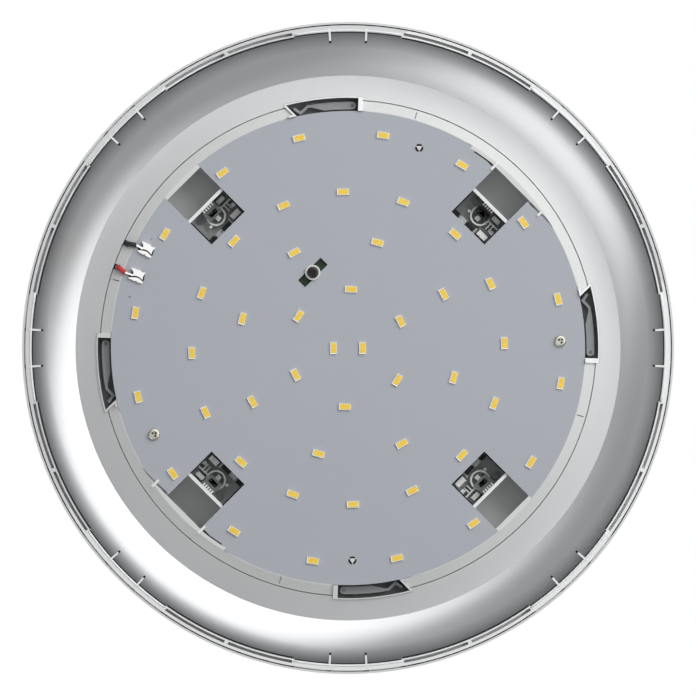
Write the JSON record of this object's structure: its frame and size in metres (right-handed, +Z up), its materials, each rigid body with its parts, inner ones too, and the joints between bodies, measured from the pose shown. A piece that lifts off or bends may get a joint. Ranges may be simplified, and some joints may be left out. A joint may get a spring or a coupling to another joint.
{
  "type": "outdoor ceiling light",
  "caption": "Round outdoor ceiling light base without its diffuser: silver-white dished shell, inner tray with bayonet slots, LED board, dusk sensor and a power supply behind the board.",
  "frame": {"origin": "centre of the face that lies on the ceiling", "axes": "+Z up into the ceiling, so the light hangs to -Z; -Y towards the front mark, where the side cable entry sits"},
  "size_m": [0.3, 0.3, 0.0503],
  "materials": {
    "shell_plastic": "satin white-silver plastic",
    "tray_plastic": "fine satin white plastic",
    "latch_plastic": "satin light grey acetal",
    "board_mask": "matte white solder mask on aluminium",
    "led_ceramic": "satin white moulding",
    "led_phosphor": "matte yellow silicone",
    "zinc_steel": "bright zinc plating",
    "pin_nylon": "satin white nylon",
    "tinned_contact": "bright tin plating",
    "black_insulation": "satin black insulation",
    "red_insulation": "satin red insulation",
    "black_rubber": "matte black rubber",
    "white_foam": "matte white foam",
    "sensor_laminate": "green circuit board",
    "sensor_nylon": "satin white nylon",
    "sensor_lens": "polished smoked plastic",
    "driver_plastic": "fine matte white plastic",
    "driver_laminate": "tan paper laminate",
    "ferrite": "matte dark ferrite",
    "winding_tape": "glossy yellow tape",
    "capacitor_sleeve": "glossy black sleeve",
    "film_capacitor": "glossy red dipped coating",
    "choke_copper": "enamelled copper wire",
    "terminal_polyamide": "satin white polyamide",
    "supply_insulation": "satin brown insulation",
    "grey_foam": "matte grey cellular rubber",
    "plug_plastic": "satin light grey plastic"
  },
  "bodies": {
    "base": {"base_pan": "shell_plastic", "board_screws": "zinc_steel", "board_snap_pins": "pin_nylon", "cable_grommet": "black_rubber", "capacitors": "capacitor_sleeve", "ceiling_gasket": "grey_foam", "choke": "choke_copper", "driver_board": "driver_laminate", "driver_case": "driver_plastic", "driver_lid": "driver_plastic", "film_capacitors": "film_capacitor", "inner_tray": "tray_plastic", "input_block": "terminal_polyamide", "led_board": "board_mask", "led_packages": "led_ceramic", "led_phosphors": "led_phosphor", "mains_terminal": "terminal_polyamide", "mains_terminal_screws": "zinc_steel", "negative_terminal": "tinned_contact", "negative_wire": "black_insulation", "outer_shell": "shell_plastic", "output_block": "terminal_polyamide", "oval_grommet": "black_rubber", "positive_terminal": "tinned_contact", "positive_wire": "red_insulation", "sensor_board": "sensor_laminate", "sensor_collar": "sensor_nylon", "sensor_lens": "sensor_lens", "side_entry_plug": "plug_plastic", "spacer_blocks": "white_foam", "supply_leads": "supply_insulation", "transformer_core": "ferrite", "transformer_winding": "winding_tape", "tray_screws": "zinc_steel", "window_pads": "black_rubber", "wire_ends": "tinned_contact"},
    "latch_1": {"latch_spring_1": "latch_plastic"},
    "latch_2": {"latch_spring_2": "latch_plastic"},
    "latch_3": {"latch_spring_3": "latch_plastic"},
    "latch_4": {"latch_spring_4": "latch_plastic"}
  },
  "joints": [
    {"name": "latch_1_swing", "type": "hinge", "parent": "base", "child": "latch_1", "pos_m": [0.00195, -0.11163, -0.0312], "axis": [0, 0, 1], "range_deg": [0, 3.2], "stiffness_Nm_per_rad": 0.4},
    {"name": "latch_2_swing", "type": "hinge", "parent": "base", "child": "latch_2", "pos_m": [0.11163, 0.00195, -0.0312], "axis": [0, 0, 1], "range_deg": [0, 3.2], "stiffness_Nm_per_rad": 0.4},
    {"name": "latch_3_swing", "type": "hinge", "parent": "base", "child": "latch_3", "pos_m": [-0.00195, 0.11163, -0.0312], "axis": [0, 0, 1], "range_deg": [0, 3.2], "stiffness_Nm_per_rad": 0.4},
    {"name": "latch_4_swing", "type": "hinge", "parent": "base", "child": "latch_4", "pos_m": [-0.11163, -0.00195, -0.0312], "axis": [0, 0, 1], "range_deg": [0, 3.2], "stiffness_Nm_per_rad": 0.4}
  ]
}
